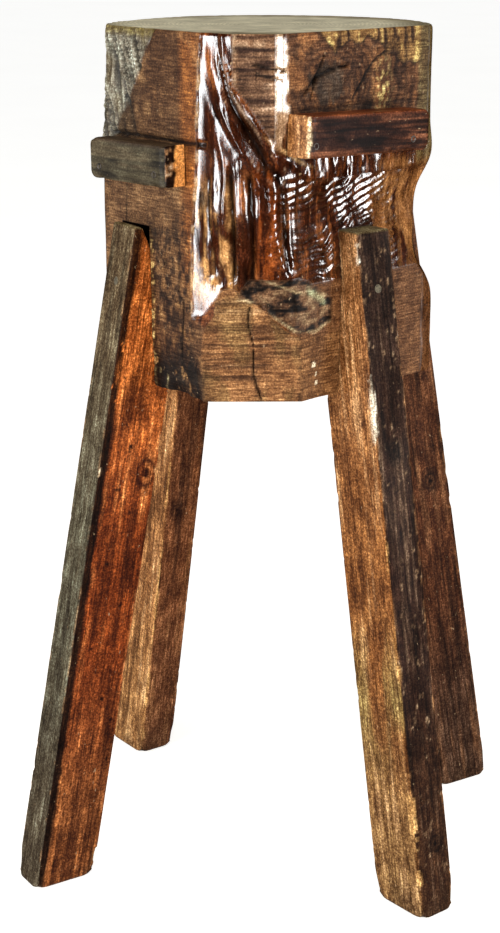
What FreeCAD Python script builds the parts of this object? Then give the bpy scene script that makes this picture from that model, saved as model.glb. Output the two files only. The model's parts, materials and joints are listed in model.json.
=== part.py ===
"""Rustic log table: a short upright log on four splayed legs, with two grip bars.

Frame: millimetres, +Z up, the origin on the floor under the middle of the whole table.
The front is -Y. A bearing is a plan angle in degrees about the log's axis: 0 points to
the front (-Y) and 90 points to the right (+X).
"""
import FreeCAD, Part
import math
import os
from collections import namedtuple

# ---------------------------------------------------------------- driving dimensions
TABLE_HEIGHT = 780.0
LOG_LENGTH = 314.0
LOG_RADIUS = 151.0
LOG_BOTTOM = TABLE_HEIGHT - LOG_LENGTH

LEG_DEPTH = 60.0          # the wide way of the dressed timber, pointing at the log's axis
LEG_WIDTH = 41.0
LEG_TOP = 610.0           # every leg ends level, against the end of its notch

BAR_HEIGHT = 36.0
BAR_CORNER = 8.0          # rounding of the two corners at a bar's outer end

# Natural surface of the log
LOBE = 1.5                # the log is slightly three-lobed
LOBE_BEARING = -20.0
WAIST = 19.0              # hollow grown into the right-hand side
WAIST_BEARING = 102.0
WAIST_HEIGHT = 608.0
WAIST_HALF_HEIGHT = 50.0
SHOULDER = 10.0           # the upper left edge draws in towards the top
SHOULDER_BEARING = -78.0
SHOULDER_START = 650.0
LOBE_SPREAD = 55.0        # half the plan angle that the waist and the shoulder cover

SECTIONS = 21             # outlines that the natural surface passes through
SECTION_POINTS = 24

# Sawn flats of the log: plan bearing of the face, and its distance from the log's axis
LEFT_FLAT = (-40.0, 123.0)
RIGHT_FLAT = (56.0, 110.0)
UPPER_FACET = (7.0, 146.0)
LOWER_FACET = (12.0, 125.0)
UPPER_FACET_LOW = 665.0
LOWER_FACET_HIGH = 545.0
FACET_RUN_OUT = 25.0      # height over which a facet slopes out to the natural surface

# Legs: plan position (radius, bearing) of the centre line at the floor and at the leg's
# top, and the bearing that the narrow outer face looks along
Leg = namedtuple("Leg", "foot top facing")
LEGS = {
    "front_left": Leg((230.6, -48.9), (109.0, -57.2), -45.3),
    "front_right": Leg((214.1, 51.6), (96.5, 59.2), 51.1),
    "back_left": Leg((227.0, -131.4), (114.0, -131.4), -132.0),
    "back_right": Leg((222.0, 128.4), (113.0, 128.4), 134.0),
}

# Grip bars: the flat they lie on, where they start and end along it, height of the lower
# edge, how far they stand out, slope in degrees, and the nails' places from the near end
Bar = namedtuple("Bar", "flat start end low thickness slope nails outer_end")
BARS = {
    "left": Bar(LEFT_FLAT, -71.0, 42.5, 649.0, 22.0, 1.2, (14.0, 97.0), "start"),
    "right": Bar(RIGHT_FLAT, -87.5, 64.5, 680.0, 25.0, -1.8, (10.0, 132.0), "end"),
}

# Fasteners
SCREW_HEIGHT = 555.0
SCREW_RADIUS = 2.5
SCREW_HEAD_RADIUS = 4.5
SCREW_HEAD_DEPTH = 4.0
SCREW_LENGTH = 86.0
PLUG_DEPTH = 8.0          # filler over the sunk screw head
NAIL_RADIUS = 1.5
NAIL_HEAD_RADIUS = 3.2
NAIL_HEAD_DEPTH = 1.2
NAIL_LENGTH = 60.0
NAIL_RISE = 10.5          # nails sit this far above the bar's lower edge

UP = FreeCAD.Vector(0, 0, 1)
CENTRE = FreeCAD.Vector(0, 0, 0)
CLEAR = 200.0             # cutting tools reach this far past the log


def direction(bearing):
    """Unit vector that points along a plan bearing."""
    angle = math.radians(bearing)
    return FreeCAD.Vector(math.sin(angle), -math.cos(angle), 0)


def plan_point(polar, height):
    radius, bearing = polar
    return direction(bearing) * radius + UP * height


def spread(bearing, middle):
    """1 at the middle bearing, falling to 0 well past LOBE_SPREAD on either side."""
    away = (bearing - middle + 180) % 360 - 180
    return math.exp(-(away / LOBE_SPREAD) ** 4)


def log_radius(bearing, height):
    """Radius of the natural log before anything is sawn off it."""
    lobes = LOBE * math.cos(math.radians(3 * (bearing - LOBE_BEARING)))
    in_waist = math.exp(-((height - WAIST_HEIGHT) / WAIST_HALF_HEIGHT) ** 4)
    waist = WAIST * in_waist * spread(bearing, WAIST_BEARING)
    rise = max(0.0, (height - SHOULDER_START) / (TABLE_HEIGHT - SHOULDER_START))
    shoulder = SHOULDER * rise * spread(bearing, SHOULDER_BEARING)
    return LOG_RADIUS + lobes - waist - shoulder


def log_section(height):
    """Closed outline of the natural log at one height."""
    bearings = [360.0 * i / SECTION_POINTS for i in range(SECTION_POINTS)]
    points = [plan_point((log_radius(b, height), b), height) for b in bearings]
    curve = Part.BSplineCurve()
    curve.interpolate(points, PeriodicFlag=True)
    return Part.Wire(curve.toShape())


def swung_profile(profile, bearing, width):
    """Solid of a (radius, height) outline, as wide as given across a plan bearing."""
    points = [FreeCAD.Vector(r, -width / 2, z) for r, z in profile]
    face = Part.Face(Part.makePolygon(points + points[:1]))
    solid = face.extrude(FreeCAD.Vector(0, width, 0))
    solid.rotate(CENTRE, UP, bearing - 90)
    return solid


def outside_flat(flat):
    """Everything outside a flat that runs the log's full height."""
    bearing, distance = flat
    far = distance + CLEAR
    low, high = LOG_BOTTOM - CLEAR, TABLE_HEIGHT + CLEAR
    profile = [(distance, low), (far, low), (far, high), (distance, high)]
    return swung_profile(profile, bearing, 2 * CLEAR)


def outside_facet(flat, sawn_end, open_end):
    """Everything outside a facet that slopes out to the bark at its sawn end."""
    bearing, distance = flat
    far = distance + CLEAR
    run_out = math.copysign(FACET_RUN_OUT * CLEAR / (LOG_RADIUS - distance), sawn_end - open_end)
    profile = [(distance, open_end), (far, open_end), (far, sawn_end + run_out), (distance, sawn_end)]
    return swung_profile(profile, bearing, 2 * CLEAR)


def make_log():
    heights = [LOG_BOTTOM + LOG_LENGTH * i / (SECTIONS - 1) for i in range(SECTIONS)]
    log = Part.makeLoft([log_section(height) for height in heights], True, False)
    log = log.cut(outside_flat(LEFT_FLAT))
    log = log.cut(outside_flat(RIGHT_FLAT))
    log = log.cut(outside_facet(UPPER_FACET, UPPER_FACET_LOW, TABLE_HEIGHT + CLEAR))
    return log.cut(outside_facet(LOWER_FACET, LOWER_FACET_HIGH, LOG_BOTTOM - CLEAR))


def leg_placement(leg):
    """Frame of a leg: Z up its centre line from the floor, X out through its narrow face."""
    foot = plan_point(leg.foot, 0)
    along = (plan_point(leg.top, LEG_TOP) - foot).normalize()
    outward = direction(leg.facing)
    outward = (outward - along * outward.dot(along)).normalize()
    across = along.cross(outward)
    turn = FreeCAD.Rotation(outward, across, along, "ZXY")
    return FreeCAD.Placement(foot, turn)


def make_leg(leg):
    """Straight timber, cut level at the floor and at its top."""
    timber = Part.makeBox(LEG_DEPTH, LEG_WIDTH, LEG_TOP + 2 * CLEAR,
                          FreeCAD.Vector(-LEG_DEPTH / 2, -LEG_WIDTH / 2, -CLEAR))
    timber.Placement = leg_placement(leg)
    slab = Part.makeBox(8 * CLEAR, 8 * CLEAR, LEG_TOP,
                        FreeCAD.Vector(-4 * CLEAR, -4 * CLEAR, 0))
    return timber.common(slab)


def make_screw_and_plug(leg):
    """Countersunk screw through the outer face into the log, and the filler over its head."""
    place = leg_placement(leg)
    rise = UP.dot(place.Rotation.multVec(UP))
    face = FreeCAD.Vector(LEG_DEPTH / 2, 0, SCREW_HEIGHT / rise)
    inward = FreeCAD.Vector(-1, 0, 0)
    plug = Part.makeCylinder(SCREW_HEAD_RADIUS, PLUG_DEPTH, face, inward)
    seat = face + inward * PLUG_DEPTH
    head = Part.makeCone(SCREW_HEAD_RADIUS, SCREW_RADIUS, SCREW_HEAD_DEPTH, seat, inward)
    shank = Part.makeCylinder(SCREW_RADIUS, SCREW_LENGTH, seat, inward)
    screw = head.fuse(shank).removeSplitter()
    screw.Placement = place
    plug.Placement = place
    return screw, plug


def bar_placement(bar):
    """Frame of a bar: X along it from its start, Y into the log from the flat, Z up."""
    bearing, distance = bar.flat
    outward = direction(bearing)
    along = UP.cross(outward)
    corner = outward * distance + along * bar.start + UP * bar.low
    level = FreeCAD.Rotation(UP, bearing)
    slope = FreeCAD.Rotation(outward, bar.slope)
    return FreeCAD.Placement(corner, slope.multiply(level))


def make_bar(bar):
    """Flat bar with its outer end's two corners rounded."""
    length = bar.end - bar.start
    solid = Part.makeBox(length, bar.thickness, BAR_HEIGHT,
                         FreeCAD.Vector(0, -bar.thickness, 0))
    end = 0.0 if bar.outer_end == "start" else length
    corners = [edge for edge in solid.Edges
               if all(abs(v.X - end) < 0.01 for v in edge.Vertexes)
               and abs(edge.Vertexes[0].Y - edge.Vertexes[1].Y) > 1]
    solid = solid.makeFillet(BAR_CORNER, corners)
    solid.Placement = bar_placement(bar)
    return solid


def make_nail(bar, place):
    """Round-head nail driven through a bar until its head is level with the bar's face."""
    face = FreeCAD.Vector(place, -bar.thickness, NAIL_RISE)
    inward = FreeCAD.Vector(0, 1, 0)
    head = Part.makeCylinder(NAIL_HEAD_RADIUS, NAIL_HEAD_DEPTH, face, inward)
    shank = Part.makeCylinder(NAIL_RADIUS, NAIL_LENGTH, face, inward)
    nail = head.fuse(shank).removeSplitter()
    nail.Placement = bar_placement(bar)
    return nail


def single_solid(shape):
    """The one solid that a cut or a common leaves."""
    assert len(shape.Solids) == 1, "a piece came apart"
    return shape.Solids[0]


def build():
    """All the pieces, each cut to make room for what passes through it."""
    nodes = {}
    log = make_log()
    for name, leg in LEGS.items():
        timber = make_leg(leg)
        screw, plug = make_screw_and_plug(leg)
        log = log.cut(timber).cut(screw)
        nodes["leg_" + name] = single_solid(timber.cut(screw).cut(plug))
        nodes["leg_screw_" + name] = single_solid(screw)
        nodes["screw_plug_" + name] = single_solid(plug)
    for name, bar in BARS.items():
        solid = make_bar(bar)
        for which, place in zip(("near", "far"), bar.nails):
            nail = make_nail(bar, place)
            log = log.cut(nail)
            solid = solid.cut(nail)
            nodes["bar_nail_" + name + "_" + which] = single_solid(nail)
        nodes["grip_bar_" + name] = single_solid(solid)
    nodes["log_block"] = single_solid(log)
    return nodes


def centre_over_origin(nodes):
    """Move the whole table so that the origin is under the middle of its bounding box."""
    box = Part.makeCompound(list(nodes.values())).BoundBox
    step = FreeCAD.Vector(-box.Center.x, -box.Center.y, 0)
    for shape in nodes.values():
        shape.translate(step)
    return step


def main():
    os.makedirs("parts", exist_ok=True)
    nodes = build()
    step = centre_over_origin(nodes)
    print("moved by", round(step.x, 3), round(step.y, 3))
    for name, shape in nodes.items():
        shape.exportStep(os.path.join("parts", name + ".step"))
        print(name, "valid" if shape.isValid() else "INVALID", round(shape.Volume))


main()
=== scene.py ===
"""Looks of the rustic log table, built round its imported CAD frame.

The log is one dense skin over bearing and height: a natural varnished surface, cut by sawn
flats, with its notches cut by the legs. The timbers are worn boxes in their own frames.
A bearing is a plan angle in degrees about the log's axis: 0 is the front (-Y), 90 the right.
"""

import json
import math

import bpy
import numpy as np
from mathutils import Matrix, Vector


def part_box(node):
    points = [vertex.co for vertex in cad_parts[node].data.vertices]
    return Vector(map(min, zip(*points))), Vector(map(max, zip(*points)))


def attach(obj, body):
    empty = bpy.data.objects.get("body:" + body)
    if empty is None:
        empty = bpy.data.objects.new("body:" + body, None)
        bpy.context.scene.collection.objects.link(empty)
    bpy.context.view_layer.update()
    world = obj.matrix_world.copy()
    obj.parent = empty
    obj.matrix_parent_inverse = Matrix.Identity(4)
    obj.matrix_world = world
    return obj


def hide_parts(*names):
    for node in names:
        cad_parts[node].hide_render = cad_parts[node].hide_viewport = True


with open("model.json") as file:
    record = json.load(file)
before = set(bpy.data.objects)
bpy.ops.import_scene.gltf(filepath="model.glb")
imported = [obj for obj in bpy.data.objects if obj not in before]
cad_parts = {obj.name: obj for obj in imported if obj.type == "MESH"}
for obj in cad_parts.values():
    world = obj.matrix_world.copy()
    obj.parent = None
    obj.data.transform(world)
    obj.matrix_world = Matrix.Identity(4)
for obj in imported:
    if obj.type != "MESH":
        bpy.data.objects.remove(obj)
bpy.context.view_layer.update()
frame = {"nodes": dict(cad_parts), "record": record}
MM = 0.001

# ------------------------------------------------------------------ the log, in mm and degrees
LOG_LOW, LOG_HIGH = (corner.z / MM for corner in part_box("log_block"))
LOG_AXIS = Vector(next(m["pos_m"] for m in frame["record"]["mounts"] if m["name"] == "table_top"))
LOG_RADIUS = 151.0
UPPER_FACET = (7.0, 146.0)
LOWER_FACET = (12.0, 125.0)
ARC = LOG_RADIUS * math.pi / 180      # mm round the log per degree

FRONT_ARC = (-80.0, 104.0)            # the part of the skin with the finest mesh
FRONT_STEP = 0.63                     # degrees
BACK_STEP = 1.45                      # degrees
ROW_STEP = 1.65                       # mm


def unit(bearing):
    return Vector((math.sin(math.radians(bearing)), -math.cos(math.radians(bearing)), 0))


# ------------------------------------------------------------------ noise and masks
def value_noise(points, seed):
    """Smooth noise from -1 to 1, one value per row of points, with cells one unit wide."""
    lattice = np.random.RandomState(seed).uniform(-1, 1, 4096)
    cell = np.floor(points).astype(np.int64)
    part = points - cell
    part = part * part * (3 - 2 * part)
    total = np.zeros(len(points))
    for corner in range(8):
        side = np.array([corner & 1, corner >> 1 & 1, corner >> 2 & 1])
        x, y, z = (cell + side).T
        weight = np.prod(np.where(side == 1, part, 1 - part), axis=1)
        total += lattice[(x * 73856093 ^ y * 19349663 ^ z * 83492791) & 4095] * weight
    return total


def fractal(points, octaves, seed):
    return sum(value_noise(points * 2 ** k + 7.3 * k, seed + k) * 0.5 ** k for k in range(octaves))


def stretched(points, cells, octaves, seed):
    """Noise in cells of a different size along X, Y and Z."""
    return fractal(points / np.array(cells), octaves, seed)


def ramp(value, low, high):
    """0 below low, 1 above high, smooth between; low may be the larger."""
    t = np.clip((value - low) / (high - low), 0, 1)
    return t * t * (3 - 2 * t)


def bell(value, width):
    return np.exp(-(value / width) ** 2)


def window(value, low, high, soft):
    return ramp(value, low - soft, low + soft) * ramp(value, high + soft, high - soft)


def soft_min(a, b, k):
    """The smaller of two heights, with the crease between them rounded over about k."""
    h = np.clip(0.5 + 0.5 * (b - a) / k, 0, 1)
    return b * (1 - h) + a * h - k * h * (1 - h)


def linear(colour):
    """Linear colour of an sRGB one given from 0 to 255."""
    c = np.array(colour, float) / 255
    return np.where(c <= 0.04045, c / 12.92, ((c + 0.055) / 1.055) ** 2.4)


def blend_to(colours, colour, mask):
    """Paint a colour over an array of colours where a mask says so."""
    mask = np.clip(mask, 0, 1)[:, None]
    return colours * (1 - mask) + np.asarray(colour) * mask


def coat(colour, count):
    """One sRGB colour for each of a number of points."""
    return np.tile(linear(colour), (count, 1))


def layered(colours, *layers):
    """Paint sRGB colours, each with its mask, one over another."""
    for colour, mask in layers:
        colours = blend_to(colours, linear(colour), mask)
    return colours


def smooth_path(points, steps=14):
    """A Catmull-Rom curve through a few points."""
    p = np.array([points[0]] + list(points) + [points[-1]], float)
    out = []
    for i in range(1, len(p) - 2):
        for t in np.linspace(0, 1, steps, endpoint=False):
            a, b, c, d = p[i - 1:i + 3]
            out.append(0.5 * (2 * b + (c - a) * t + (2 * a - 5 * b + 4 * c - d) * t ** 2
                              + (3 * b - a - 3 * c + d) * t ** 3))
    out.append(p[-2])
    return np.array(out)


def path_distance(at, path):
    """Distance to a path, the side it lies on (positive to the right going along), and how
    far along it the nearest point is, from 0 to 1."""
    best = np.full(len(at), 1e9)
    side = np.zeros(len(at))
    share = np.zeros(len(at))
    for i in range(len(path) - 1):
        a, d = path[i], path[i + 1] - path[i]
        t = np.clip(((at - a) @ d) / max(d @ d, 1e-9), 0, 1)
        away = at - a - t[:, None] * d
        gap = np.hypot(away[:, 0], away[:, 1])
        closer = gap < best
        best = np.where(closer, gap, best)
        side = np.where(closer, np.sign(away[:, 0] * d[1] - away[:, 1] * d[0]), side)
        share = np.where(closer, (i + t) / (len(path) - 1), share)
    return best, side, share


# ------------------------------------------------------------------ frames of the CAD timbers
def spans_along(node, axes):
    """Lowest and highest reach of a CAD node along each of some directions."""
    points = [v.co for v in frame["nodes"][node].data.vertices]
    return [(min(p.dot(a) for p in points), max(p.dot(a) for p in points)) for a in axes]


def timber_frame(node):
    """Axes of a CAD timber: the normals of its widest and next widest pairs of long faces,
    outwards where that is clear, then the direction along it."""
    groups = []
    for face in frame["nodes"][node].data.polygons:
        for group in groups:
            if abs(group[0].dot(face.normal)) > 0.999:
                group[1] += face.area
                break
        else:
            groups.append([face.normal.copy(), face.area])
    groups.sort(key=lambda g: -g[1])
    wide, narrow = groups[0][0].normalized(), groups[1][0].normalized()
    along = wide.cross(narrow).normalized()
    low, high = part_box(node)
    out = (low + high) / 2 - LOG_AXIS
    out.z = 0
    axes = []
    for axis in (wide, narrow, along):
        axes.append(axis if axis.dot(out) >= 0 or abs(axis.dot(out.normalized())) < 0.35 else -axis)
    return axes


def flat_of(bar):
    """Bearing and distance of the flat that a grip bar lies on."""
    out = timber_frame(bar)[0]
    inner = spans_along(bar, [out])[0][0]
    bearing = math.degrees(math.atan2(out.x, -out.y))
    return bearing, (inner - LOG_AXIS.dot(out) + LOG_AXIS.z * out.z) / MM


LEFT_FLAT = flat_of("grip_bar_left")
RIGHT_FLAT = flat_of("grip_bar_right")


# ------------------------------------------------------------------ the log's surface
def flat_radius(flat, bearing):
    """Radius at which a vertical flat is met along each bearing."""
    facing = np.cos(np.radians(bearing - flat[0]))
    return np.where(facing > 0.08, flat[1] / np.maximum(facing, 0.08), 1e4)


def spread(bearing, middle, reach):
    away = (bearing - middle + 180) % 360 - 180
    return np.exp(-(away / reach) ** 4)


# Lines on the log's face, as (bearing, height) from the top down
SWIRL = [(-6.5, 782), (-3.5, 747), (-0.3, 723), (4.5, 701), (10.5, 676), (15.0, 664)]
SWIRL_LEFT = [(-11.0, 782), (-8.0, 747), (-4.4, 720), (0.6, 697), (6.0, 674), (9.0, 655)]
SWIRL_INNER = [(-4.0, 782), (-1.8, 745), (1.4, 722), (7.0, 701), (13.0, 683)]
COLLAR = [(-1.8, 742), (1.2, 727), (6.0, 710), (12.0, 694), (18.0, 683), (28.0, 670), (48.0, 662),
          (83.0, 665)]
GROOVES = [  # line, width in mm, depth in mm
    ([(-1.2, 676), (-0.4, 640), (-0.2, 600), (-1.0, 572)], 2.2, 4.2),
    ([(5.0, 672), (5.8, 640), (6.2, 600), (5.4, 566)], 3.8, 6.0),
    ([(14.5, 668), (17.0, 640), (18.0, 604), (19.5, 580)], 2.4, 2.8),
    ([(-8.6, 668), (-9.6, 640), (-8.8, 606), (-7.0, 578)], 1.6, 2.2),
    ([(10.4, 660), (11.6, 630), (11.8, 596)], 1.5, 1.8),
]
# Heights up the left flat's front edge, then its bearings there
LEFT_EDGE = ((535, 572, 606, 641, 676, 709, 742, 774),
             (-18.3, -18.7, -18.5, -16.5, -14.7, -15.0, -14.4, -13.0))
BAND_REACH = 17.0           # degrees over which the gloss band rises from the left flat
UPPER_FACET_END = 13.7      # bearings at which the upper facet's bevel starts and ends
BEVEL_END = 17.2
# Bearings along the lip over the right flat, then the heights of its scalloped lower edge
SCALLOPS = ((29, 35, 41, 50, 57, 63, 70, 76, 84, 93),
            (786, 775, 763, 774, 767, 775, 768, 760, 750, 749))
CRACKS = [  # line, width in mm, depth in mm
    ([(4.4, 551), (3.7, 535), (5.6, 517)], 0.9, 2.6),
    ([(5.6, 512), (6.0, 488), (9.2, 466)], 0.9, 2.6),
    ([(-61.0, 722), (-61.6, 690), (-61.3, 640), (-62.0, 600)], 0.6, 1.4),
    ([(-26.6, 588), (-26.3, 556), (-23.7, 548), (-25.4, 500), (-24.6, 478)], 0.8, 1.8),
    ([(-41.0, 572), (-37.0, 579), (-34.0, 586)], 0.9, 2.0),
    ([(24.0, 728), (28.0, 737), (32.0, 744), (41.0, 749), (49.0, 751)], 1.5, 3.4),
    ([(27.5, 724), (30.5, 742), (33.0, 752), (35.0, 762)], 1.0, 2.4),
    ([(52.0, 722), (58.0, 735), (66.0, 752), (74.0, 760)], 1.2, 1.6),
    ([(6.0, 756), (11.0, 753), (17.0, 750)], 0.7, 1.6),
    ([(7.5, 748), (12.0, 745), (16.5, 741)], 0.6, 1.3),
    ([(128.0, 782), (131.0, 720), (127.0, 650), (133.0, 590)], 1.3, 4.0),
    ([(-146.0, 782), (-151.0, 730), (-148.0, 660)], 1.1, 4.0),
    ([(178.0, 466), (179.5, 520), (176.0, 575)], 1.1, 4.0),
]


class LogSkin:
    """Radius in mm, colour and gloss of the log's skin over a grid of bearings and heights."""

    def __init__(self, bearing, height):
        self.b = (bearing + 180) % 360 - 180
        self.z = height
        self.at = np.column_stack([self.b * ARC, height])
        self.left_cut = flat_radius(LEFT_FLAT, self.b)
        self.right_cut = flat_radius(RIGHT_FLAT, self.b)
        self.broad = self.noise(42, 60, 11, 2)
        self.wander = self.noise(24, 24, 23, 2)
        self.grain = self.noise(5, 60, 71)
        self.marks = self.noise(60, 2.6, 73)
        self.coarse = self.noise(70, 6.5, 79)
        self.rough = self.noise(5, 7, 67, 3)
        self.shape_natural()
        self.shape_hollow()
        self.shape_flutes()
        self.shape_furrows()
        self.shape_grey_corner()
        self.shape_scar()
        self.shape_sawn_faces()
        self.paint_natural()
        self.paint_left_flat()
        self.paint_right_flat()
        self.paint_lower_facet()
        self.paint_upper_facet()
        self.paint_scar_and_breaks()
        self.cut_cracks_and_rims()

    def noise(self, across, along, seed, octaves=1, bearing=None):
        """Noise that wraps round the log, with the cell sizes in mm."""
        angle = np.radians(self.b if bearing is None else bearing)
        points = np.column_stack([LOG_RADIUS * np.sin(angle) / across,
                                  -LOG_RADIUS * np.cos(angle) / across, self.z / along])
        return fractal(points, octaves, seed)

    def near(self, line):
        """Distance in mm from a line of (bearing, height), and how far along it from 0 to 1."""
        gap, _, share = path_distance(self.at, smooth_path([(p * ARC, q) for p, q in line]))
        return gap, share

    def paint(self, colour, mask):
        self.colour = blend_to(self.colour, linear(colour), mask)

    def cover(self, mask, base, *layers):
        """Paint one part of the skin with a base colour and layers over it."""
        self.colour = blend_to(self.colour, layered(self.tone(base), *layers), mask)

    def spot(self, bearing, height, wide, tall):
        """Soft mask round one place, with its reach in mm."""
        return bell((self.b - bearing) * ARC, wide) * bell(self.z - height, tall)

    def tone(self, colour):
        return coat(colour, len(self.b))

    # ---- shape
    def shape_natural(self):
        """Faint lobes, a waist on the right, a drawn-in upper left and a receding lower front."""
        b, z = self.b, self.z
        r = LOG_RADIUS + 1.5 * np.cos(np.radians(3 * (b + 20)))
        r -= 19 * np.exp(-((z - 608) / 50) ** 4) * spread(b, 102, 55)
        r -= 12 * ramp(z, 650, 790) * spread(b, -78, 55) + 5 * ramp(z, 650, 700) * spread(b, 104, 35)
        r -= 13 * ramp(z, 640, 566) * window(b, -26, 24, 8)
        self.radius = r + 0.9 * self.broad - 1.4

    def shape_hollow(self):
        """Rippled hollow under the cut branch, behind the right flat."""
        b, z = self.b, self.z
        lip = 661 + 24 * ramp(b, 30, 12)
        self.hollow = ramp(z, lip + 1.5, lip - 5) * ramp(z, 552, 574) * window(b, 15, 99, 3)
        dip = 2.0 + 6.5 * bell(z - 628, 26) + 1.2 * self.broad + 1.8 * self.noise(26, 30, 27)
        dipped = np.minimum(self.radius, self.right_cut - dip)
        self.radius += (dipped - self.radius) * self.hollow
        rippled = window(b, 13, 88, 6) * window(z, 562, 660, 9)
        rise = 0.10 * ramp(b, 70, 20) - 0.22
        self.ripple = np.sin(2 * np.pi * (z + rise * b * ARC + 4.0 * self.wander) / 7.8)
        small = self.noise(6, 4, 29, 2)
        self.radius += rippled * (0.8 * self.ripple * (0.8 + 0.7 * self.wander) + 0.22 * small)
        self.rippled = rippled

    def shape_flutes(self):
        """Flutes that run down the log and bend round the branch, with lumps on the gloss band."""
        b, z = self.b, self.z
        self.flow = b - 17 * ramp(z, 778, 668) * window(b, -24, 36, 9)
        wide = 1 - 2.2 * np.abs(self.noise(8.5, 95, 31, bearing=self.flow))
        fine = 1 - 2 * np.abs(self.noise(3.4, 34, 37, bearing=self.flow))
        bare_front = window(b, -20, 22, 6) * ramp(z, 556, 575)
        back = window((b + 360) % 360, 106, 278, 7)
        self.fluted = np.maximum(bare_front, back)
        self.flutes = 0.7 * wide + 0.45 * fine
        fine_share = np.maximum(ramp(b, -9, -2), 1.6 * ramp(z, 690, 725))
        self.radius += self.fluted * (1.7 * wide + 0.5 * fine * fine_share - 1.0)
        self.lumps = self.noise(10, 22, 41, 3)
        lumpy = window(b, -17, -3, 4) * window(z, 566, 668, 12)
        self.radius += self.lumps * (1.6 * lumpy + 0.6 * bare_front)
        self.radius += 2.4 * self.noise(26, 36, 43) * window(b, -20, 0, 5)

    def shape_furrows(self):
        """Swirl of furrows, the branch collar's raised edge, and the long dark grooves."""
        swirl, along = self.near(SWIRL)
        width = 1.8 + 3.6 * ramp(along, 0.15, 0.7)
        self.radius -= 4.8 * bell(swirl, width) * ramp(along, -0.1, 0.3)
        # painted shade in the bottom of each furrow
        self.deep_shade = bell(swirl, 0.85 * width) * ramp(along, 0.0, 0.4)
        # pale line just outside each furrow, a painted highlight along its edge
        self.furrow_edge_highlight = bell(swirl - 1.5 * width, 0.9) * ramp(along, 0.0, 0.3)
        left, _ = self.near(SWIRL_LEFT)
        inner, _ = self.near(SWIRL_INNER)
        self.collar, self.collar_share = self.near(COLLAR)
        self.radius += 1.6 * bell(left, 2.2) + 1.4 * bell(inner, 1.6) + 1.8 * bell(self.collar, 2.0)
        for line, width, depth in GROOVES:
            gap, share = self.near(line)
            cut = bell(gap + 0.8 * self.wander, width) * window(share, 0.08, 0.93, 0.07)
            self.radius -= depth * cut
            # the deeper a groove is cut, the darker the painted shade in it
            self.deep_shade += cut * min(1.0, 0.2 + depth / 4)

    def shape_grey_corner(self):
        """Weathered, grooved corner at the top left, just behind the left flat."""
        b, z = self.b, self.z
        edge = -41.5 - 0.28 * (777 - z) + 1.2 * self.noise(14, 22, 47)
        self.grey = ramp(b, edge + 0.6, edge - 1.6) * ramp(z, 655, 668) * window(b, -98, -38, 3)
        flow = b + 9 * ramp(z, 700, 780) + 3.0 * self.noise(26, 26, 53)
        wide = 1 - 2.3 * np.abs(self.noise(5.2, 44, 59, bearing=flow))
        fine = 1 - 2.0 * np.abs(self.noise(2.4, 20, 63, bearing=flow))
        self.grey_flutes = 0.75 * wide + 0.4 * fine
        self.grey_face = np.minimum(self.left_cut - 2.6, 141 + 5 * ramp(z, 760, 660))
        self.grey_face += 3.0 * wide + 1.1 * fine

    def shape_scar(self):
        """Bark grown in above the lower facet."""
        b, z = self.b, self.z
        self.scar_top = 575 - 15 * ramp(b, 5, -1) - 25 * ramp(b, 22, 46)
        self.scar_low = 557 - 31 * ramp(b, 0, 28) + 6 * ramp(b, 30, 41)
        wave = 2.6 * self.noise(13, 13, 61, 2)
        scar = ramp(z, self.scar_low - 1 + wave, self.scar_low + 1.5 + wave)
        scar *= ramp(z, self.scar_top + 2, self.scar_top - 2)
        self.scar = scar * window(b, 0.5, 41, 1.5)
        self.scar_lip = 0.42 * self.scar_top + 0.58 * (self.scar_low + 27) - 4 * ramp(b, 8, 0)
        step = ramp(z, self.scar_lip - 1.5, self.scar_lip + 1.5)
        face = soft_min(flat_radius((12.0, 129.0), b), self.right_cut - 1.0, 3)
        face += 1.5 * self.rough + 3 * step
        self.radius += (np.minimum(self.radius, face) - self.radius) * self.scar

    def shape_sawn_faces(self):
        """Four sawn faces, each with its own shallow tooth marks."""
        b, z, marks, coarse = self.b, self.z, self.marks, self.coarse
        bumps = self.noise(9, 13, 75, 3)
        left = self.left_cut - 0.45 - 0.35 * self.grain - 0.3 * marks - 0.35 * bumps * ramp(z, 650, 600)
        right = self.right_cut - 0.5 - 0.3 * self.grain - 0.3 * coarse - 0.7 * bumps
        line = 556 + 11 * bell(b + 2.5, 6) - 34 * ramp(b, 2, 26) - 21 * ramp(b, -4, -18)
        line += 1.4 * self.noise(6, 6, 83)
        lower = flat_radius(LOWER_FACET, b) + 5.0 * ramp(z, 500, 570) - 0.5 - 0.5 * marks - 0.4 * coarse
        self.in_lower = ramp(z, line + 2.5, line - 1.0) * window(b, -30, 60, 4)
        collar_height = 742 - 59 * ramp(b, -4, 19) + 300 * ramp(b, 26, 40)
        upper = flat_radius(UPPER_FACET, b) - 0.4 - 0.5 * marks - 0.5 * coarse
        self.in_upper = window(b, -0.2, 24, 0.4) * ramp(z, collar_height - 1, collar_height + 2)

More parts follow.
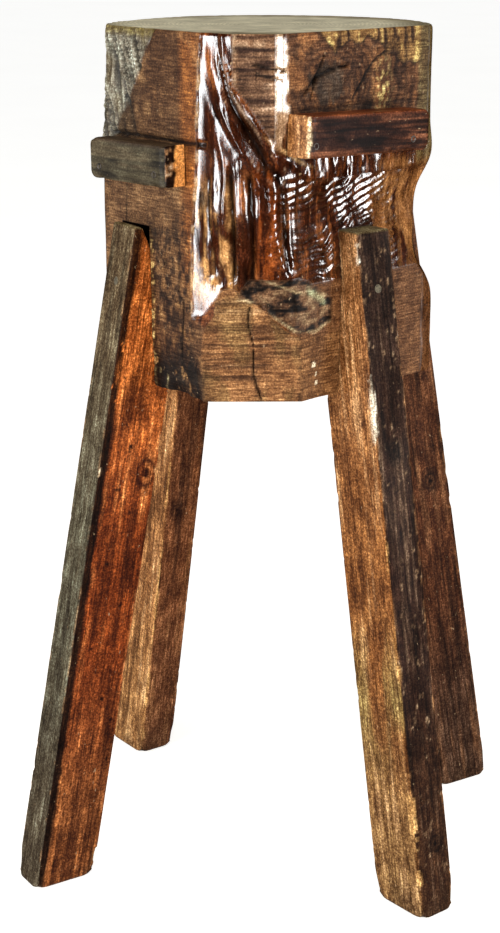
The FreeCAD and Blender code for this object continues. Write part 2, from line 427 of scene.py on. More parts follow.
        edge = np.interp(z, *LEFT_EDGE) + 0.6 * self.wander
        upper_part = ramp(z, 528, 545)
        past_edge = ramp(b, edge - 0.7, edge + 0.7) * upper_part
        recess = np.maximum(self.radius - (flat_radius(LEFT_FLAT, edge) - 1.6), 0)
        recess *= ramp(b, edge + BAND_REACH, edge) * ramp(b, edge - 1.5, edge) * upper_part
        r = soft_min(self.radius - recess, left, 1.4)
        r += (self.grey_face - r) * self.grey
        r = soft_min(r, right, 2.6)
        r += (np.minimum(r, lower) - r) * self.in_lower
        r += (np.minimum(r, upper) - r) * self.in_upper
        bevel = self.bevel_radius() - 0.1 * self.grain
        self.bevel = ramp(r - bevel, -0.1, 0.4) * ramp(z, 684, 692) * window(b, 12, 19, 1)
        r = np.where(self.bevel > 0, np.minimum(r, bevel), r)
        self.radius = r
        self.on_left = ramp(left - r, 1.2, 0.0) * (1 - self.grey) * (1 - past_edge) * (b > -86)
        self.on_right = ramp(right - r, 1.4, 0.1) * window(b, BEVEL_END + 0.3, 96, 1.2)
        self.on_right *= 1 - window(z, 568, 688, 3)
        self.on_lower = self.in_lower * ramp(lower - r, 1.2, 0.3)
        self.on_upper = self.in_upper * ramp(upper - r, 1.0, 0.3)

    def bevel_radius(self):
        """Radius of the plane from the upper facet's end to the right flat."""
        ends = []
        for bearing, flat in ((UPPER_FACET_END, UPPER_FACET), (BEVEL_END, RIGHT_FLAT)):
            angle = math.radians(bearing)
            reach = flat_radius(flat, np.array([bearing]))[0] - 0.6
            ends.append(np.array([reach * math.sin(angle), -reach * math.cos(angle)]))
        run = ends[1] - ends[0]
        facing = math.degrees(math.atan2(-run[1], -run[0])) + 180
        angle = math.radians(facing)
        reach = ends[0] @ (math.sin(angle), -math.cos(angle))
        return flat_radius((facing, reach), self.b)

    # ---- colour
    def paint_natural(self):
        """Dark varnished wood, with a golden band on the left, partly a painted sheen, and an orange ridge.
        """
        b, z = self.b, self.z
        flow = self.flow
        patch = self.noise(20, 34, 89, 3, flow)
        streak = self.noise(3.0, 30, 97, 3, flow)
        self.patch, self.streak = patch, streak
        self.colour = self.tone((62, 27, 12))
        self.paint((134, 74, 36), ramp(patch + 0.7 * streak, 0.05, 0.8) * 0.9)
        self.paint((20, 8, 4), ramp(self.flutes, 0.25, -0.45) * 0.85 * self.fluted)
        self.paint((26, 11, 6), ramp(streak - 0.4 * patch, 0.1, 0.7) * 0.75)
        # golden band: the wood's golden tone with a painted golden sheen of the varnish highlights over it
        golden_tone_and_sheen = window(b, -20, -1, 3) * window(z, 560, 655, 12)
        self.paint((206, 150, 92), 0.9 * golden_tone_and_sheen * ramp(patch + streak, -0.7, 0.1))
        self.paint((66, 34, 18), 0.8 * golden_tone_and_sheen * ramp(self.rough, 0.0, -0.5))
        self.paint((54, 46, 42), 0.9 * bell(b + 13.0, 4.5) * bell(z - 642, 13))
        orange = window(b, 7.5, 15, 2.0) * window(z, 566, 680, 8)
        self.paint((132, 62, 20), orange * ramp(streak, -0.4, 0.3) * 0.8)
        self.paint((26, 11, 6), 0.55 * self.rippled * ramp(self.ripple, 0.5, -0.8))
        tawny = ramp(b, 60, 84) * window(z, 545, 668, 6) * (1 - self.on_right)
        self.paint((144, 96, 53), 0.8 * tawny * ramp(patch + 0.5 * streak, -0.6, 0.3))
        self.paint((98, 62, 36), 0.85 * window(b, 92, 140, 5) * ramp(z, 575, 565))
        self.paint((62, 28, 12), 0.7 * self.hollow * bell(z - 658, 6))
        # painted shade: the furrow and groove bottoms are painted near black, darker where they are cut
        # deeper
        self.paint((12, 5, 3), np.clip(self.deep_shade, 0, 1) * 0.95)
        # painted highlight: pale lines along the furrows' edges
        self.paint((176, 142, 116), 0.55 * self.furrow_edge_highlight * ramp(streak, -0.2, 0.4))
        pale = bell(self.collar, 1.2) * window(self.collar_share, 0.42, 0.7, 0.08)
        self.paint((200, 156, 104), 0.8 * pale)

    def paint_left_flat(self):
        b, z = self.b, self.z
        worked = ramp(z, 640, 600) * window(b, -46, -17, 3)
        self.cover(
            self.on_left, (110, 76, 46),
            ((82, 52, 28), ramp(z, 680, 720)),
            ((80, 49, 27), ramp(z, 600, 500) * 0.9),
            ((128, 74, 30), ramp(b, -27, -21) * ramp(z, 540, 600)),
            ((78, 62, 42), 0.7 * ramp(b, -48, -64) * ramp(z, 640, 690)),
            ((152, 112, 72), 0.4 * ramp(self.patch + 0.6 * self.coarse, 0.2, 0.9)),
            ((56, 32, 15), 0.6 * ramp(-self.grain + 0.7 * self.marks, 0.3, 1.0)),
            ((34, 18, 9), 0.85 * worked * ramp(self.rough, -0.1, 0.4)),
            ((140, 100, 58), 0.5 * worked * ramp(self.rough, -0.35, -0.8)))
        rim = bell(b - np.interp(z, *LEFT_EDGE) - 0.6 * self.wander, 0.6) * window(z, 545, 765, 8)
        self.paint((204, 164, 118), 0.7 * rim * ramp(self.rough, -0.3, 0.2))
        ticks = window(b, -45.8, -43.4, 0.5) * window(z, 470, 600, 5)
        self.paint((196, 164, 104), 0.9 * ticks * ramp(self.noise(3, 1.9, 85), 0.1, 0.4))
        # painted shade on the flat just beside the top of the front left leg
        self.paint((22, 14, 9), 0.8 * bell(b + 43, 4) * bell(z - 604, 9))

        self.cover(
            self.grey, (80, 74, 61),
            ((22, 16, 10), ramp(self.grey_flutes, 0.4, -0.35)),
            ((166, 158, 140), 0.8 * ramp(self.grey_flutes, 0.55, 0.95)),
            ((90, 72, 44), 0.6 * ramp(self.wander, 0.2, 0.7)),
            ((112, 96, 50), ramp(z, 771, 776) * 0.8))
        crevice = bell((b + 58.5 + 0.14 * (z - 712)) * ARC, 2.8) * window(z, 690, 736, 7)
        self.paint((14, 9, 6), crevice)
        self.radius = self.radius - 4.0 * crevice

    def paint_right_flat(self):
        b, z = self.b, self.z
        knot = np.hypot((b - 37) * ARC / 30, (z - 737) / 21)
        rings = 0.5 + 0.5 * np.sin(20 * knot + 3.5 * self.broad + 2.5 * self.wander)
        specks = self.noise(2.6, 2.6, 101, 2)
        lichen = self.spot(72, 730, 10, 18) * ramp(specks, 0.05, 0.3)
        scallop = np.interp(b, *SCALLOPS) + 2.4 * self.noise(8, 8, 103)
        across = window(b, 29, 93, 2)
        tone = layered(
            self.tone((102, 64, 37)),
            ((48, 26, 13), 0.75 * rings * ramp(z, 590, 660)),
            ((148, 96, 54), 0.7 * ramp(self.patch + 0.6 * self.rough, 0.1, 0.8)),
            ((36, 18, 9), 0.75 * ramp(self.rough - 0.5 * self.patch, 0.15, 0.7)),
            ((62, 50, 40), 0.8 * ramp(knot + 0.25 * self.rough, 1.0, 0.7)),
            ((102, 66, 39), 0.8 * ramp(z, 590, 575)),
            ((20, 9, 5), 0.9 * self.spot(63, 714, 11, 12)),
            ((232, 208, 136), 0.95 * lichen),
            ((24, 11, 6), 0.9 * bell(z - scallop, 2.4) * across))
        lip = layered(
            self.tone((128, 92, 50)),
            ((52, 30, 13), ramp(self.grain + 0.5 * self.rough, 0.0, 0.6)),
            ((190, 160, 96), 0.8 * ramp(self.grain + self.rough, -0.4, -0.9)))
        self.lip = ramp(z, scallop - 1, scallop + 1.5) * across
        tone = blend_to(tone, lip, self.lip)
        self.colour = blend_to(self.colour, tone, self.on_right)
        self.radius = self.radius + 1.0 * self.lip * self.on_right
        self.paint((92, 76, 46), 0.8 * window(b, 91.5, 99, 1.0) * ramp(z, 655, 668))

    def paint_lower_facet(self):
        b, z, marks = self.b, self.z, self.marks
        self.cover(
            self.on_lower * ramp(b, 24.6, 23.8), (134, 90, 54),
            ((64, 36, 17), 0.85 * ramp(marks + 0.5 * self.coarse, -0.05, 0.5)),
            ((190, 142, 98), 0.6 * ramp(marks - 0.3 * self.coarse, 0.4, 0.8)),
            ((104, 76, 42), 0.6 * ramp(self.patch, 0.1, 0.6)))
        self.paint((112, 74, 42), self.in_lower * ramp(b, 23.8, 24.6))
        broken = ramp(self.noise(4, 3.4, 107), -0.2, 0.1)
        seam = bell(b - 24.2, 0.55) * window(z, 462, 528, 2) * broken
        self.paint((44, 24, 10), 0.9 * seam)
        for bearing, height, size in ((30.8, 497, 2.7), (32.2, 488, 1.5), (32.4, 480, 1.7)):
            self.paint((226, 212, 184), ramp(self.spot(bearing, height, size, size), 0.35, 0.5))

    def paint_upper_facet(self):
        lines = self.noise(40, 1.1, 109) + 0.5 * self.coarse
        panel = window(self.b, 1.6, 12.2, 0.5) * window(self.z, 700, 769, 2)
        rim = np.maximum(bell(self.b - 0.2, 0.7), bell(self.z - 772, 2.0))
        self.cover(
            self.on_upper, (128, 92, 66),
            ((48, 25, 15), 0.85 * ramp(lines, -0.1, 0.4)),
            ((176, 146, 120), 0.6 * ramp(lines, -0.5, -0.85)),
            ((34, 15, 10), panel * (0.35 + 0.4 * ramp(lines, -0.4, 0.4))),
            ((170, 140, 112), 0.6 * rim * ramp(self.rough, -0.4, 0.2)))
        # painted highlight: the bevel is painted pale, over its real gloss
        self.paint((178, 146, 116), 0.9 * self.bevel)

    def paint_scar_and_breaks(self):
        b, z, rough = self.b, self.z, self.rough
        bark = self.noise(11, 4, 68, 3)
        edge = np.maximum(bell(z - self.scar_low, 1.3), 0.9 * bell(z - self.scar_lip, 1.1))
        self.cover(
            self.scar, (92, 62, 40),
            ((18, 10, 6), ramp(bark, 0.05, -0.4)),
            ((144, 116, 84), 0.6 * ramp(bark, 0.35, 0.8)),
            ((196, 172, 130), 0.85 * edge * ramp(self.wander, -0.6, 0.2)))
        wedge = bell(z - 560 + 0.5 * (b - 30) * ARC, 3) * window(b, 27, 37, 1.5)
        self.paint((170, 168, 130), 0.8 * wedge)

        broken = window(b, -46, -13, 4) * ramp(z, 520 + 10 * self.broad, 492 + 10 * self.broad)
        self.radius = self.radius - 2.2 * broken * (0.6 + 0.8 * np.abs(rough))
        self.radius -= 5.5 * ramp(z, 478, 462) * window(b, -34, -15, 3) * (0.8 + 0.6 * self.wander)
        # the broken lower corner is painted near black, partly broken wood and partly painted shade; its
        # pale and greenish bits are painted highlights
        self.paint((18, 10, 6), 0.95 * broken * ramp(rough + 0.2 * self.broad, 0.45, 0.1))
        self.paint((156, 112, 66), 0.6 * broken * ramp(rough, 0.5, 0.9))
        self.paint((168, 158, 116), 0.8 * window(b, -44, -34, 2) * bell(z - 476, 8) * ramp(rough, 0.3, 0.6))

    def cut_cracks_and_rims(self):
        """Cracks, the gap over each grip bar with painted shade in it, and the worn rims, then the gloss.
        """
        b, z = self.b, self.z
        for line, width, depth in CRACKS:
            gap, share = self.near(line)
            width_here = width * (0.35 + 0.9 * np.sin(np.pi * np.clip(share, 0.02, 0.98)))
            gap = gap + 0.7 * self.wander
            self.radius = self.radius - depth * bell(gap, 1.3 * width_here)
            self.paint((14, 7, 4), 0.95 * bell(gap, 1.2 * width_here))
        for bar, flat, depth, dark in (("grip_bar_left", LEFT_FLAT, 3.2, 0.95),
                                       ("grip_bar_right", RIGHT_FLAT, 1.0, 0.6)):
            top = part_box(bar)[1].z / MM
            near = np.abs(np.radians(b - flat[0])) * flat[1] < 62
            # painted shade in the carved gap along the top of each grip bar
            shaded_slit = bell(z - top - 0.5, 2.2) * near
            self.radius = self.radius - depth * shaded_slit
            self.paint((20, 11, 6), dark * shaded_slit)
        self.radius = self.radius - 1.2 * np.exp(-np.minimum(LOG_HIGH - z, z - LOG_LOW) / 1.2)
        sawn = np.maximum(self.on_left, self.on_right) * (1 - self.scar) + self.in_lower
        dull = np.maximum(sawn, self.on_upper * 0.7) + 0.6 * self.grey + 0.8 * self.scar
        dull = np.maximum(dull, 0.75 * self.lip * self.on_right)
        self.gloss = np.maximum(1 - np.clip(dull, 0, 1), self.bevel)


# ------------------------------------------------------------------ mesh makers
def new_object(name, vertices, faces, colours, gloss, own=None):
    """Mesh object in metres, with a colour, a gloss and the timber's own coordinates on each
    point. Without own coordinates the points' places stand for them."""
    mesh = bpy.data.meshes.new(name)
    mesh.from_pydata([tuple(v) for v in vertices], [], [tuple(f) for f in faces])
    mesh.validate()
    count = len(vertices)
    paint = np.ones((count, 4), np.float32)
    paint[:, :3] = colours
    mesh.color_attributes.new("paint", "FLOAT_COLOR", "POINT").data.foreach_set("color", paint.ravel())
    shine = np.broadcast_to(np.asarray(gloss, np.float32), count).copy()
    mesh.attributes.new("gloss", "FLOAT", "POINT").data.foreach_set("value", shine)
    places = np.asarray(vertices if own is None else own, np.float32)
    mesh.attributes.new("own", "FLOAT_VECTOR", "POINT").data.foreach_set("vector", places.ravel())
    mesh.shade_smooth()
    obj = bpy.data.objects.new(name, mesh)
    bpy.context.scene.collection.objects.link(obj)
    return obj


VARNISHED, END_GRAIN, SAWN, NOTCH = range(4)     # the log's material slots
SAWN_TOP_PAINT = (170, 160, 130)


def log_skin():
    """The log's side wall, with its sawn top and bottom closed by rings."""
    front = np.arange(FRONT_ARC[0], FRONT_ARC[1], FRONT_STEP)
    back = np.arange(FRONT_ARC[1], FRONT_ARC[0] + 360, BACK_STEP)
    bearings = np.concatenate([front, back])
    heights = np.linspace(LOG_LOW, LOG_HIGH, int((LOG_HIGH - LOG_LOW) / ROW_STEP) + 1)
    columns, rows = len(bearings), len(heights)
    skin = LogSkin(np.tile(bearings, rows), np.repeat(heights, columns))
    angle = np.radians(skin.b)
    wall = np.column_stack([skin.radius * np.sin(angle), -skin.radius * np.cos(angle), skin.z])
    points, paints, shine = [wall], [skin.colour], [skin.gloss]
    index = np.arange(rows * columns).reshape(rows, columns)
    right = np.roll(index, -1, axis=1)
    wall_quads = np.stack([index[:-1], right[:-1], right[1:], index[1:]], -1).reshape(-1, 4)
    faces = list(wall_quads)
    count = rows * columns
    for rim_row, height, rings, up in ((rows - 1, LOG_HIGH, 15, 1), (0, LOG_LOW, 5, -1)):
        rim = wall[rim_row * columns:(rim_row + 1) * columns]
        previous = index[rim_row]
        for share in np.linspace(1, 0, rings)[1:]:
            ring = rim * share if share > 0 else np.zeros((1, 3))
            sag = 0.8 * fractal(ring / 45, 2, 127) + 0.35 * fractal(ring / 9, 2, 131) - 1.0
            ring[:, 2] = height + up * np.minimum(sag, -0.05)
            points.append(ring)
            paints.append(coat(SAWN_TOP_PAINT, len(ring)))
            shine.append(np.zeros(len(ring)))
            if share > 0:
                this = np.arange(count, count + columns)
                around = [previous, np.roll(previous, -1), np.roll(this, -1), this]
            else:
                this = np.full(columns, count)
                around = [previous, np.roll(previous, -1), this]
            faces += list(np.stack(around[::up], -1))
            count += len(ring)
            previous = this
    places = np.concatenate(points) * MM + np.array([LOG_AXIS.x, LOG_AXIS.y, 0])
    obj = new_object("log_skin", places, faces, np.concatenate(paints), np.concatenate(shine))
    slots = np.full(len(faces), END_GRAIN, np.int32)
    slots[:len(wall_quads)] = np.where(skin.gloss[wall_quads].mean(1) > 0.5, VARNISHED, SAWN)
    obj.data.polygons.foreach_set("material_index", slots)
    return obj


def box_lattice(nx, ny, nz):
    """Points of the surface of a lattice, from -1 to 1 each way, and its quads."""
    on_skin = np.zeros((nx + 1, ny + 1, nz + 1), bool)
    for axis in range(3):
        for end in (0, -1):
            side = [slice(None)] * 3
            side[axis] = end
            on_skin[tuple(side)] = True
    index = np.full(on_skin.shape, -1)
    index[on_skin] = np.arange(on_skin.sum())
    at = np.argwhere(on_skin) / np.array([nx, ny, nz]) * 2 - 1
    quads = []
    for axis in range(3):
        for end, inward in ((0, True), (-1, False)):
            face = np.take(index, end, axis=axis)
            quad = [face[:-1, :-1], face[1:, :-1], face[1:, 1:], face[:-1, 1:]]
            if inward != (axis == 1):
                quad = quad[::-1]
            quads.append(np.stack(quad, -1).reshape(-1, 4))
    return at, np.concatenate(quads)


def rounded(at, half, radius):
    """Push a box's lattice points onto a rounded box; gives the points and their normals."""
    p = at * half
    core = np.clip(p, -(half - radius), half - radius)
    away = p - core
    length = np.maximum(np.linalg.norm(away, axis=1, keepdims=True), 1e-9)
    return core + away / length * np.minimum(length, radius), away / length


class Wear:
    """Wear of a timber whose length is along Z: its noises, and the depth lost in mm."""

    def __init__(self, points, half, seed):
        self.edge = np.hypot(*np.maximum(half[:2] - np.abs(points[:, :2]), 0).T)
        self.grain = stretched(points, (3.5, 3.5, 90), 2, seed)
        self.dents = stretched(points, (22, 22, 34), 2, seed + 5)
        self.nicks = stretched(points, (8, 8, 10), 2, seed + 9)
        self.streak = stretched(points, (2.6, 2.6, 70), 3, seed + 21)
        self.patch = stretched(points, (24, 24, 80), 3, seed + 27)
        self.rubbed = ramp(self.edge, 4.5, 0.0)
        nicked = ramp(self.nicks, 0.3, 0.85)
        self.depth = 0.12 + 0.1 * np.abs(self.grain) + 0.22 * np.maximum(self.dents, 0)
        self.depth += self.rubbed * (0.15 + 1.2 * nicked)


# ------------------------------------------------------------------ materials
def nodes_of(name):
    material = bpy.data.materials.new(name)
    material.use_nodes = True
    tree = material.node_tree
    return material, tree, tree.nodes["Principled BSDF"]


def add(tree, kind, **settings):
    """A node with its properties and, by their names, its unlinked inputs set."""
    node = tree.nodes.new(kind)
    for key, value in settings.items():
        if key in node.inputs.keys():
            node.inputs[key].default_value = value
        else:
            setattr(node, key, value)
    return node


def link(tree, out, into):
    tree.links.new(out, into)


def attribute(tree, name, output):
    return add(tree, "ShaderNodeAttribute", attribute_name=name).outputs[output]


def scaled_noise(tree, coordinates, scale, detail, distortion=0.0):
    """Noise over coordinates in metres, stretched by three scales."""
    mapping = add(tree, "ShaderNodeMapping", Scale=scale)
    link(tree, coordinates, mapping.inputs["Vector"])
    noise = add(tree, "ShaderNodeTexNoise", Scale=1.0, Detail=detail, Roughness=0.6, Distortion=distortion)
    link(tree, mapping.outputs["Vector"], noise.inputs["Vector"])
    return noise.outputs["Fac"]


def remap(tree, value, low, high, to_low, to_high):
    node = add(tree, "ShaderNodeMapRange")
    for key, number in (("From Min", low), ("From Max", high), ("To Min", to_low), ("To Max", to_high)):
        node.inputs[key].default_value = number
    link(tree, value, node.inputs["Value"])
    return node.outputs["Result"]


def calculate(tree, operation, a, b=0.0):
    """Math node; a and b are sockets or numbers."""
    node = add(tree, "ShaderNodeMath", operation=operation)
    for socket, value in zip(node.inputs, (a, b)):
        if isinstance(value, (int, float)):
            socket.default_value = value
        else:
            link(tree, value, socket)
    return node.outputs[0]


def mixed(tree, blend, factor, a, b):
    """Colour mix; factor, a and b are sockets or plain values."""
    node = add(tree, "ShaderNodeMix", data_type="RGBA", blend_type=blend)
    for socket, value in ((node.inputs[0], factor), (node.inputs[6], a), (node.inputs[7], b)):
        if isinstance(value, bpy.types.NodeSocket):
            link(tree, value, socket)
        elif isinstance(value, (int, float)):
            socket.default_value = value
        else:
            socket.default_value = (*value, 1)
    return node.outputs[2]


def blend_numbers(tree, factor, a, b):
    node = add(tree, "ShaderNodeMix", data_type="FLOAT")
    for socket, value in zip((node.inputs[0], node.inputs[2], node.inputs[3]), (factor, a, b)):
        link(tree, value, socket)
    return node.outputs[0]


# How strongly each noise lightens or darkens wood, and how a stain deepens in the dark parts
WOOD_CONTRAST = {"lines": 3.4, "blotch": 2.2, "specks": 2.8}
STAIN_DEPTH = (0.85, 1.0, 1.12)
PORE_FINENESS = 2.4      # pores against the grain
RELIEF = 0.0014          # metres
VARNISHED_RELIEF = 0.2   # share of the fine relief that still shows through varnish

# Woods: noise scales along X, Y and Z of the grain and the saw marks, the saw marks' share on
# dull wood, the pores' depth, the noises' contrast, the roughness of dull and varnished wood
LOG_WOOD = {"grain": (210, 210, 30), "saw": (60, 60, 620), "sawn": 0.9, "pores": 0.3, "contrast": 0.95,
            "dull": (0.6, 0.85), "varnish": (0.08, 0.2), "bump": 0.7}
BAR_WOOD = {"grain": (340, 340, 18), "saw": (160, 160, 100), "sawn": 0.3, "bump": 0.5}
WOODS = {
    "varnished_log_wood": {**LOG_WOOD, "specular": 0.9},
    "sawn_log_wood": {**LOG_WOOD, "specular": 0.2},
    "stained_timber_wood": {
        "grain": (640, 640, 38), "saw": (90, 90, 300), "sawn": 0.25, "pores": 0.75, "contrast": 1.2,
        "dull": (0.55, 0.8), "varnish": (0.38, 0.5), "bump": 0.6, "specular": 0.07},
    "weathered_bar_wood": {
        **BAR_WOOD, "pores": 0.3, "contrast": 0.7,
        "dull": (0.5, 0.8), "varnish": (0.25, 0.4), "specular": 0.15},
    "dark_bar_wood": {
        **BAR_WOOD, "pores": 0.5, "contrast": 1.0,
        "dull": (0.4, 0.6), "varnish": (0.2, 0.35), "specular": 0.08},
}


def wood_material(name):
    """Painted wood: the colour on the points, broken up by grain, saw marks, pores, specks and
    pale scuffs, and satin or glossy as the points say."""
    look = WOODS[name]
    material, tree, shader = nodes_of(name)
    own = attribute(tree, "own", "Vector")
    gloss = attribute(tree, "gloss", "Fac")
    grain = scaled_noise(tree, own, look["grain"], 5, 0.6)
    saw = scaled_noise(tree, own, look["saw"], 3, 0.3)
    specks = scaled_noise(tree, own, (620, 620, 620), 2)
    blotch = scaled_noise(tree, own, (75, 75, 42), 5)
    dullness = calculate(tree, "SUBTRACT", 1.0, gloss)
    lines = blend_numbers(tree, calculate(tree, "MULTIPLY", dullness, look["sawn"]), grain, saw)
    exponent = 0.0
    for noise, weight in ((lines, "lines"), (blotch, "blotch"), (specks, "specks")):
        centred = calculate(tree, "SUBTRACT", noise, 0.5)
        part = calculate(tree, "MULTIPLY", centred, WOOD_CONTRAST[weight] * look["contrast"])
        exponent = calculate(tree, "ADD", part, exponent)
    strength = add(tree, "ShaderNodeCombineColor")
    for socket, depth in zip(strength.inputs, STAIN_DEPTH):
        link(tree, calculate(tree, "POWER", 4.0, calculate(tree, "MULTIPLY", exponent, depth)), socket)
    body = mixed(tree, "MULTIPLY", 1.0, attribute(tree, "paint", "Color"), strength.outputs["Color"])
    pores = scaled_noise(tree, own, [PORE_FINENESS * size for size in look["grain"]], 3)
    body = mixed(tree, "MIX", remap(tree, pores, 0.58, 0.68, 0.0, look["pores"]), body, linear((20, 10, 5)))
    scuffs = scaled_noise(tree, own, (260, 260, 150), 3)
    scuffed = remap(tree, scuffs, 0.69, 0.74, 0.0, 0.6)
    link(tree, mixed(tree, "MIX", scuffed, body, linear((186, 156, 122))), shader.inputs["Base Color"])
    dull = remap(tree, lines, 0.3, 0.7, look["dull"][1], look["dull"][0])
    varnished = remap(tree, blotch, 0.3, 0.7, *look["varnish"])
    link(tree, blend_numbers(tree, gloss, dull, varnished), shader.inputs["Roughness"])
    shader.inputs["Specular IOR Level"].default_value = look["specular"]
    height = calculate(tree, "ADD", lines, calculate(tree, "MULTIPLY", specks, 0.35))
    height = calculate(tree, "MULTIPLY", height, remap(tree, gloss, 0, 1, 1.0, VARNISHED_RELIEF))
    bumped = add(tree, "ShaderNodeBump", Strength=look["bump"], Distance=RELIEF)
    link(tree, height, bumped.inputs["Height"])
    link(tree, bumped.outputs["Normal"], shader.inputs["Normal"])
    return material


PITH_SHIFT = (0.012, -0.018, 0)      # metres from the pith to the middle of the table
RING_TURN = 1700.0                   # radians a metre, which is a ring about every 4 mm


def end_grain_material():
    """Bare sawn end of the log: pale rings round the pith, saw marks and a darker rim."""
    material, tree, shader = nodes_of("bare_end_grain")
    place = attribute(tree, "own", "Vector")
    flat = add(tree, "ShaderNodeMapping", Location=PITH_SHIFT, Scale=(1.0, 1.08, 0))
    link(tree, place, flat.inputs["Vector"])
    wobble = scaled_noise(tree, place, (14, 14, 14), 3)
    length = add(tree, "ShaderNodeVectorMath", operation="LENGTH")
    link(tree, flat.outputs["Vector"], length.inputs[0])
    distance = calculate(tree, "ADD", length.outputs["Value"], calculate(tree, "MULTIPLY", wobble, 0.012))
    rings = calculate(tree, "SINE", calculate(tree, "MULTIPLY", distance, RING_TURN))
    blotch = scaled_noise(tree, place, (34, 48, 34), 5)
    saw = scaled_noise(tree, place, (30, 520, 30), 3)
    tone = calculate(tree, "MULTIPLY", remap(tree, rings, -1, 1, 0.8, 1.06),
                     remap(tree, blotch, 0.3, 0.7, 0.62, 1.16))
    tone = calculate(tree, "MULTIPLY", tone, remap(tree, saw, 0.3, 0.7, 0.9, 1.08))
    tint = add(tree, "ShaderNodeCombineColor")
    for socket in tint.inputs:
        link(tree, tone, socket)
    edge = remap(tree, distance, 0.122, 0.152, 0.0, 0.85)
    body = mixed(tree, "MIX", edge, linear((208, 200, 172)), linear((116, 100, 64)))
    link(tree, mixed(tree, "MULTIPLY", 1.0, body, tint.outputs["Color"]), shader.inputs["Base Color"])
    shader.inputs["Roughness"].default_value = 0.8
    bumped = add(tree, "ShaderNodeBump", Strength=0.35, Distance=0.0008)
    relief = calculate(tree, "ADD", saw, calculate(tree, "MULTIPLY", rings, 0.12))
    link(tree, relief, bumped.inputs["Height"])
    link(tree, bumped.outputs["Normal"], shader.inputs["Normal"])
    return material


def speckled_material(name, scale, light, dark, rough, metallic=0.0, bump=0.0):
    """Plain fine-grained surface between two colours, such as filler or tarnished steel."""
    material, tree, shader = nodes_of(name)
    place = add(tree, "ShaderNodeTexCoord").outputs["Object"]
    grit = scaled_noise(tree, place, (scale,) * 3, 4)
    shade = remap(tree, grit, 0.35, 0.65, 0, 1)
    link(tree, mixed(tree, "MIX", shade, linear(light), linear(dark)), shader.inputs["Base Color"])
    link(tree, remap(tree, grit, 0.3, 0.7, *rough), shader.inputs["Roughness"])
    shader.inputs["Metallic"].default_value = metallic
    bumped = add(tree, "ShaderNodeBump", Strength=bump, Distance=0.0004)
    link(tree, grit, bumped.inputs["Height"])
    link(tree, bumped.outputs["Normal"], shader.inputs["Normal"])
    return material


# ------------------------------------------------------------------ timbers
class Timber:
    """A CAD timber's own frame: three directions, its centre and its half sizes in mm."""

    def __init__(self, node, axes):
        self.node, self.axes = node, axes
        spans = spans_along(node, axes)
        self.half = np.array([(high - low) / 2 / MM for low, high in spans])
        self.centre = sum(((low + high) / 2 * a for (low, high), a in zip(spans, axes)), Vector())

    def to_world(self, points):
        """Places in metres in the row frame of points in mm in the timber's frame."""
        return points * MM @ np.array([list(a) for a in self.axes]) + np.array(self.centre)


def leg_timber(name):
    """Frame of a leg: X out through its narrow outer face, Z up along it."""
    _, outward, along = timber_frame("leg_" + name)
    along = along if along.z > 0 else -along
    return Timber("leg_" + name, (outward, along.cross(outward), along))


def bar_timber(name):
    """Frame of a grip bar: X out of the flat, Y up, Z along it."""
    outward, up, _ = timber_frame("grip_bar_" + name)
    up = up if up.z > 0 else -up
    return Timber("grip_bar_" + name, (outward, up, outward.cross(up)))


# Colours of each long face of a leg near its top, half way and near its foot, then its dark
# and light streaks. "right" is the viewer's right for someone who looks at the outer face.
# A knot is given by its face, height up the leg, place across the face and size, in mm.
PLAIN_BROWN = ((112, 70, 40), (104, 62, 34), (100, 62, 36), (50, 26, 12), (150, 106, 68))
LEG_STYLES = {
    "front_left": {
        "seed": 211, "slant": 1.7, "dark_arris": (1, 1),
        "outer": ((94, 76, 54), (84, 77, 61), (78, 67, 52), (46, 38, 27), (118, 107, 86)),
        "right": ((172, 92, 40), (116, 50, 16), (112, 62, 30), (46, 14, 3), (190, 114, 60)),
        "left": PLAIN_BROWN, "inner": PLAIN_BROWN,
        "knots": [("right", 397, -19, 12)],
        "chips": [(-1, 1, 24, 9, 4.0), (1, 1, 395, 5, 2.0)]},
    "front_right": {
        "seed": 223, "slant": 0, "dark_arris": None,
        "outer": ((46, 28, 19), (42, 22, 13), (62, 35, 18), (10, 4, 2), (120, 92, 70)),
        "right": PLAIN_BROWN,
        "left": ((140, 92, 54), (130, 80, 40), (128, 92, 54), (74, 38, 14), (186, 142, 98)),
        "inner": PLAIN_BROWN,
        "knots": [("outer", 422, 0, 8), ("outer", 60, 4, 8)],
        "chips": [(1, -1, 458, 34, 4.5), (1, -1, 224, 9, 3.5), (1, -1, 88, 27, 6.0), (1, -1, 32, 8, 5.0),
                  (1, -1, 330, 14, 2.5), (1, -1, 598, 10, 3.0), (1, 1, 520, 40, 1.6)]},
    "back_left": {
        "seed": 227, "slant": 0, "dark_arris": None,
        "outer": ((112, 76, 48),) * 3 + ((62, 38, 20), (150, 112, 78)),
        "right": ((132, 86, 50), (156, 104, 60), (160, 112, 66), (84, 50, 24), (204, 160, 112)),
        "left": PLAIN_BROWN,
        "inner": ((66, 36, 18), (108, 62, 34), (96, 56, 32), (36, 16, 7), (146, 98, 60)),
        "knots": [("inner", 300, 6, 7)],
        "chips": [(-1, 1, 210, 60, 2.2), (-1, 1, 90, 26, 2.6), (-1, 1, 330, 30, 1.8),
                  (-1, 1, 30, 12, 3.5)]},
    "back_right": {
        "seed": 229, "slant": 0, "dark_arris": None,
        "outer": ((96, 64, 42),) * 3 + ((50, 30, 16), (130, 96, 68)),
        "right": PLAIN_BROWN,
        "left": ((86, 50, 28), (76, 40, 20), (68, 44, 30), (24, 10, 4), (124, 82, 52)),
        "inner": ((86, 48, 27), (76, 38, 20), (68, 42, 28), (24, 10, 4), (124, 80, 50)),
        "knots": [("inner", 378, 0, 12), ("left", 340, 8, 9)],
        "chips": [(-1, -1, 470, 10, 2.0), (-1, -1, 60, 14, 2.5)]},
}
